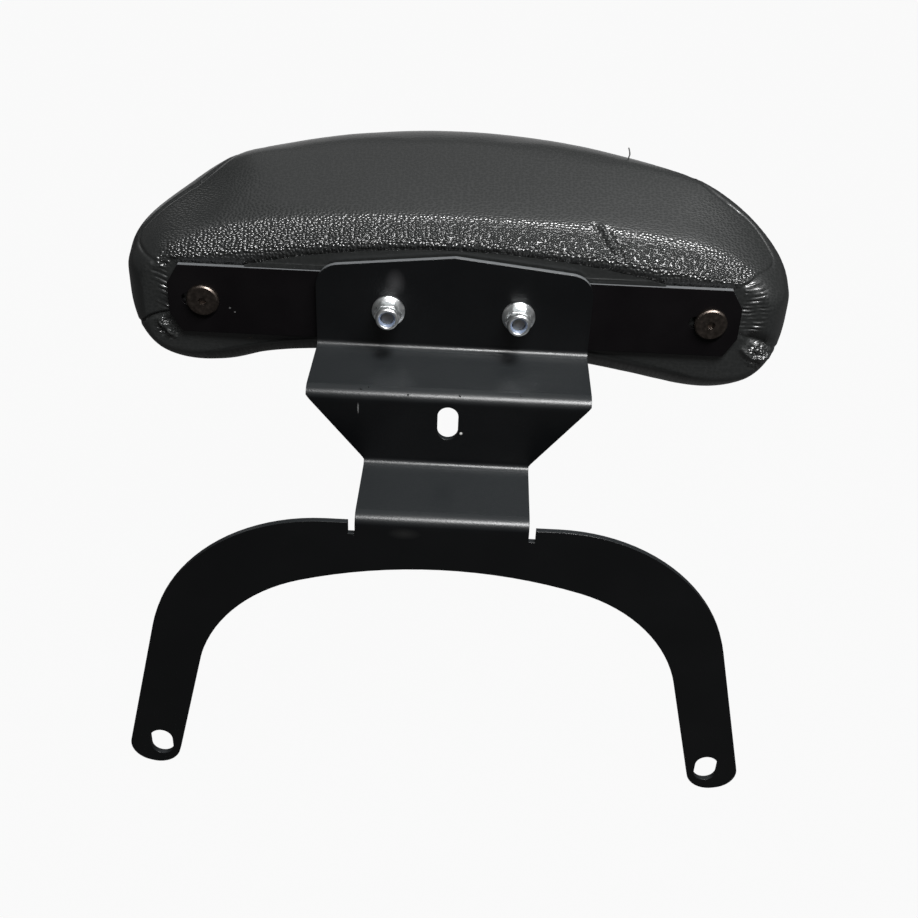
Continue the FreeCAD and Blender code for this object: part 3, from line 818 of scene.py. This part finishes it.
roll = {
    "bulge": 0.0019,  # how far it hangs over the hem
    "overStrap": 0.0008,
    "rise": 0.0032,
    "fall": (0.006, 0.020),
    "depth": (0.004, 0.022),
    "ends": (0.150, 0.168),
}
grainArea = {
    "lean": (0.79, 0.93),  # a face's slope across the pad, 1 for one that looks up
    "rear": (0.10, 0.36),
    "side": (0.35, 0.60),
    "foot": 0.250,
    "footRise": 0.009,
    "footEnds": (0.146, 0.160),
    "fade": 0.006,
    "least": 0.035,
    "crumpled": 0.65,
}
skinWave = {
    "height": 0.00018,
    "noises": ((24, 1, (0, 0, 0)), (61, 0.5, (3, 9, 4))),
}
refining = (
    # margin round a detail, how far forward it goes
    (0.0028, 0.30),
    (0.0012, 0.150),
)
nearGathers = 0.024
clearance = {
    "strapMargin": 0.0006,
    "strapGap": 0.00015,
    "flangeHalf": 0.0765,
    "flangeMargin": 0.001,
    "flangeGap": 0.0004,
}


def smoothLine(points, step):
    # a rounded line through the points, sampled evenly enough to measure from
    ends = [points[0] * 2 - points[1]] + list(points) + [points[-1] * 2 - points[-2]]
    line = []
    for before, here, there, after in zip(ends, ends[1:], ends[2:], ends[3:]):
        count = max(int((there - here).length / step), 1)
        square = 2 * before - 5 * here + 4 * there - after
        cube = 3 * here - before - 3 * there + after
        for index in range(count):
            t = index / count
            line.append(0.5 * (2 * here + (there - before) * t + square * t * t + cube * t ** 3))
    return line + [points[-1]]


def seamLine(left, right, angle, reach):
    edge = []
    count = seams["points"]
    for step in range(-count, count + 1):
        along = reach * step / count
        lifted = seams["endTurn"] * ramp(abs(along), *seams["turnFrom"])
        edge.append(cushionPoint(along, math.radians(angle + math.copysign(lifted, angle))))
    first, last = ([mm(*place) for place in path] for path in (left, reversed(right)))
    return smoothLine(first + edge + last, lineShape["step"])


def onSurface(line, skin):
    snapped = [skin.find_nearest(place)[0] for place in line]
    tree = KDTree(len(snapped))
    for index, place in enumerate(snapped):
        tree.insert(place, index)
    tree.balance()
    return tree, len(snapped)


def detailLines(skin):
    # each line's tree and count of points, half width, height, lip, and whether it tapers
    angle, half, lip = seams["edgeAngle"], seams["width"], seams["lip"]
    upper = seamLine(seams["upperLeft"], seams["upperRight"], angle, seams["topReach"])
    lower = seamLine(seams["lowerLeft"], seams["lowerRight"], -angle, seams["underReach"])
    details = [
        (*onSurface(upper, skin), half, -seams["topDepth"], lip, False),
        (*onSurface(lower, skin), half, -seams["underDepth"], lip, False),
    ]
    for width, height, path in folds.values():
        line = smoothLine([mm(*place) for place in path], lineShape["step"])
        details.append((*onSurface(line, skin), width, height, 0, True))
    return details


def nearDetail(point, margin, details):
    for tree, count, width, *rest in details:
        if tree.find(point)[2] < margin + width:
            return True
    for edge, run, low, high, *rest in gathers.values():
        out = (point.x - edge) * math.copysign(1, edge)
        among = -margin < out < run + margin and low - margin < point.z < high + margin
        if among and point.y < cushion["back"] + nearGathers:
            return True
    return any((point - mm(*centre)).length < reach + margin for centre, reach, *rest in crumples.values())


def refineSkin(bm, details):
    for margin, front in refining:
        near = []
        for edge in bm.edges:
            middle = (edge.verts[0].co + edge.verts[1].co) / 2
            if middle.y < front and nearDetail(middle, margin, details):
                near.append(edge)
        bmesh.ops.subdivide_edges(bm, edges=near, cuts=1, use_grid_fill=True, smooth=0.0)
    bm.normal_update()


def lineLift(point, details):
    lift = 0
    for tree, count, width, height, lip, tapered in details:
        place, index, away = tree.find(point)
        if away > width * lineShape["reach"]:
            continue
        share, taper = index / count, lineShape["taper"]
        ends = ramp(share, 0, taper) * (1 - ramp(share, 1 - taper, 1)) if tapered else 1
        beside = (away - lineShape["lipAt"] * width) / width
        lift += ends * (height * math.exp(-(away / width) ** 2) + lip * math.exp(-beside ** 2))
    return lift


def hemTop(along):
    return hem["peak"] - hem["drop"] * (along / hem["span"]) ** 2


def rollSwell(point):
    # the roll hangs over the hem, and over the strap beyond it
    start = max(hemTop(point.x), strapBox[1].z + roll["overStrap"])
    rise = ramp(point.z, start, start + roll["rise"])
    rise *= 1 - ramp(point.z, *(start + height for height in roll["fall"]))
    nearBack = 1 - ramp(point.y, *(cushion["back"] + depth for depth in roll["depth"]))
    return roll["bulge"] * rise * nearBack * (1 - ramp(abs(point.x), *roll["ends"]))


def gatherWave(point, name):
    edge, run, low, high, spacing, height, slant = gathers[name]
    g = gatherShape
    side = math.copysign(1, edge)
    out = (point.x - edge) * side
    if out < g["start"][0] or out > run or point.y > cushion["back"] + g["depth"]:
        return 0
    inside = ramp(point.z, low, low + g["margin"]) * (1 - ramp(point.z, high - g["margin"], high))
    height *= max(g["height"] + noises(point, g["heightNoise"]), g["leastHeight"])
    phase = (point.z - side * slant * out) / spacing * 2 * math.pi + noises(point, g["wander"])
    uneven = noise.noise(Vector((0, g["lengthShift"] * side, point.z * g["lengthScale"])))
    length = run * (g["length"] + g["lengthNoise"] * uneven)
    fade = (1 - ramp(out, length * g["fadeFrom"], length)) * ramp(out, *g["start"])
    share, frequency, shift = g["second"]
    wave = math.sin(phase) - g["sink"] + share * math.sin(phase * frequency + shift)
    return height * inside * fade * wave


def crumpled(point):
    total = 0
    finer, share, shift = crumpleShape["second"]
    for centre, reach, size, height in crumples.values():
        away = (point - mm(*centre)).length
        if away < reach:
            dents = noises(point, ((1 / size, 1, (0, 0, 0)), (finer / size, share, shift)))
            total += height * dents * (1 - ramp(away, reach * crumpleShape["full"], reach))
    return total


def sagged(point):
    total = 0
    for centre, reach, depth in sags.values():
        total += depth * (1 - ramp((point - mm(*centre)).length, 0, reach))
    return total


def layGrain(bm):
    # the pebbles show on the rear roll and where the skin is crumpled, and hardly on the stretched panels
    grain = bm.verts.layers.float.new("grain")
    g = grainArea
    for vert in bm.verts:
        point, normal = vert.co, vert.normal
        lean = normal.z / max(math.hypot(normal.y, normal.z), 1e-6)
        onRoll = (1 - ramp(lean, *g["lean"])) * ramp(-normal.y, *g["rear"])
        onRoll *= 1 - ramp(abs(normal.x), *g["side"])
        foot = g["foot"] + g["footRise"] * ramp(abs(point.x), *g["footEnds"])
        onRoll *= ramp(point.z, foot, foot + g["fade"])
        inCrumple = 0
        for centre, reach, *rest in crumples.values():
            away = (point - mm(*centre)).length
            inCrumple = max(inCrumple, 1 - ramp(away, reach * crumpleShape["grainFull"], reach))
        vert[grain] = max(g["least"] + (1 - g["least"]) * onRoll, g["crumpled"] * inCrumple)


def keepClear(vert):
    # nothing goes into the strap or the flange
    low, high = strapBox
    margin = clearance["strapMargin"]
    point = vert.co
    if low.x - margin < point.x < high.x + margin and low.z - margin < point.z < high.z + margin:
        vert.co.y = max(point.y, high.y + clearance["strapGap"])
    elif (abs(point.x) < clearance["flangeHalf"]
          and point.z < bracketBox[1].z + clearance["flangeMargin"]):
        vert.co.y = max(point.y, low.y + clearance["flangeGap"])


def dressSkin(bm):
    details = detailLines(BVHTree.FromBMesh(bm))
    refineSkin(bm, details)
    layGrain(bm)
    moves = []
    for vert in bm.verts:
        point = vert.co
        lift = lineLift(point, details) + crumpled(point) - sagged(point)
        lift += gatherWave(point, "left") + gatherWave(point, "right")
        lift += skinWave["height"] * noises(point, skinWave["noises"])
        moves.append((vert, vert.normal * lift - Vector((0, rollSwell(point), 0))))
    for vert, move in moves:
        vert.co += move
        keepClear(vert)


def makeCushion():
    mesh = swollenForm()
    piece = bpy.data.objects.new("cushion_cover", mesh)
    scene.collection.objects.link(piece)
    bm = bmesh.new()
    bm.from_mesh(mesh)
    dressSkin(bm)
    bm.to_mesh(mesh)
    bm.free()
    mesh.name = "cushion_cover"
    mesh.materials.clear()
    mesh.materials.append(finishes["leather"])
    for face in mesh.polygons:
        face.use_smooth = True
    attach(piece, "root")
    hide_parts("pad_cover", "foam_core")
    print("cushion made,", len(mesh.polygons), "faces")


makeCushion()


# Hem strip between the strap and the roll, with its folded edge

def addPiece(name, bm, finish, smooth=True):
    mesh = bpy.data.meshes.new(name)
    bmesh.ops.recalc_face_normals(bm, faces=bm.faces)
    bm.to_mesh(mesh)
    bm.free()
    mesh.materials.append(finish)
    for face in mesh.polygons:
        face.use_smooth = smooth
    piece = bpy.data.objects.new(name, mesh)
    scene.collection.objects.link(piece)
    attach(piece, "root")


def stripFaces(bm, low, high, rear):
    # low and high give the strip's edges at a place along it
    made = bmesh.ops.create_grid(bm, x_segments=hem["columns"], y_segments=hem["rows"], size=1)["verts"]
    half = hem["span"] * math.sqrt((hem["peak"] - hem["foot"] - hem["endHeight"]) / hem["drop"])
    scales = hem["rippleScale"]
    for vert in made:
        along, up = vert.co.x * half, (vert.co.y + 1) / 2
        ripple = noise.noise(Vector((along * scales[0], up * scales[1], rear * scales[2])))
        bottom = low(along)
        vert.co = Vector((along, rear + hem["ripple"] * ripple, bottom + (high(along) - bottom) * up))
    faces = inOrder(face for vert in made for face in vert.link_faces)
    bmesh.ops.recalc_face_normals(bm, faces=faces)
    if faces[0].normal.y > 0:
        bmesh.ops.reverse_faces(bm, faces=faces)
    bmesh.ops.solidify(bm, geom=faces, thickness=hem["thickness"])


def makeHem():
    bm = bmesh.new()

    def foot(along):
        return hem["foot"]

    def foldTop(along):
        return min(hem["foot"] + hem["foldHeight"], hemTop(along))

    stripFaces(bm, foot, hemTop, hem["rear"])
    stripFaces(bm, foot, foldTop, hem["foldRear"])
    addPiece("cover_hem", bm, finishes["leather"], smooth=False)


makeHem()
print("hem made")


# Small things: a loose end of thread, nibs in the powder coat and the nuts' rolled lips

thread = {
    "path": (
        (94.9, 175.6, 300.2), (94.9, 175, 301.6), (95.2, 174.7, 303.2), (94.8, 174.8, 305.2),
        (94.2, 175.1, 306.9)),
    "radius": 0.00040,
    "sides": 8,
    "step": 0.0005,
    "dark": (0.030, 0.031, 0.031),
    "light": (0.060, 0.061, 0.060),
    "roughness": 0.8,
    "twist": (1800, 2),
}
nibs = {
    # centre and radius in millimetres
    "first": ((-46.1, 51.1, 213.1), 0.7),
    "second": ((-21.3, 49.5, 211.9), 0.6),
    "third": ((5.9, 50.1, 212.4), 0.7),
    "fourth": ((37.8, 51.5, 213.3), 0.6),
    "fifth": ((-42.1, 52.6, 213.7), 0.5),
}
nutLip = {
    # radius and height above the nut's end, in millimetres
    "profile": (
        (4.55, 0.03), (4.50, 0.28), (4.72, 0.52), (5.20, 0.66), (5.75, 0.56), (6.05, 0.28), (6.00, 0.03),
        (5.30, 0.03)),
    "steps": 56,
}


def threadFinish():
    finish, tree, shader, place = newFinish("threadEnd", {"Roughness": thread["roughness"]})
    twist = grainOf(tree, place, *thread["twist"])
    tree.links.new(colourBetween(tree, twist, thread["dark"], thread["light"]), shader.inputs["Base Color"])
    return finish


def threadRings(bm):
    line = smoothLine([mm(*place) for place in thread["path"]], thread["step"])
    for here, there in zip(line, line[1:] + [line[-1] * 2 - line[-2]]):
        turn = (there - here).to_track_quat("Z", "X").to_matrix().to_4x4()
        turn.translation = here
        yield bmesh.ops.create_circle(
            bm, segments=thread["sides"], radius=thread["radius"], matrix=turn)["verts"]


def makeThread():
    bm = bmesh.new()
    closedSkin(bm, threadRings(bm))
    addPiece("thread_end", bm, threadFinish())


def makeNibs():
    bm = bmesh.new()
    for centre, radius in nibs.values():
        made = bmesh.ops.create_icosphere(bm, subdivisions=2, radius=radius / 1000)["verts"]
        bmesh.ops.translate(bm, verts=made, vec=mm(*centre))
    addPiece("paint_nibs", bm, finishes["powder"])


def makeLips():
    bm = bmesh.new()
    for side in ("left", "right"):
        low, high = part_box("bracket_nut_" + side)
        centre = Vector(((low.x + high.x) / 2, low.y, (low.z + high.z) / 2))
        ring = bmesh.ops.create_circle(bm, segments=len(nutLip["profile"]), radius=1)["verts"]
        for vert, (radius, height) in zip(ring, nutLip["profile"]):
            vert.co = centre + mm(radius, -height, 0)
        edges = inOrder(edge for vert in ring for edge in vert.link_edges)
        bmesh.ops.spin(
            bm, geom=ring + edges, cent=centre, axis=(0, 1, 0), dvec=(0, 0, 0), angle=2 * math.pi,
            steps=nutLip["steps"], use_merge=True, use_normal_flip=False, use_duplicate=False)
    addPiece("nut_lips", bm, finishes["zinc"])


makeThread()
makeNibs()
makeLips()
print("thread, nibs and lips made")
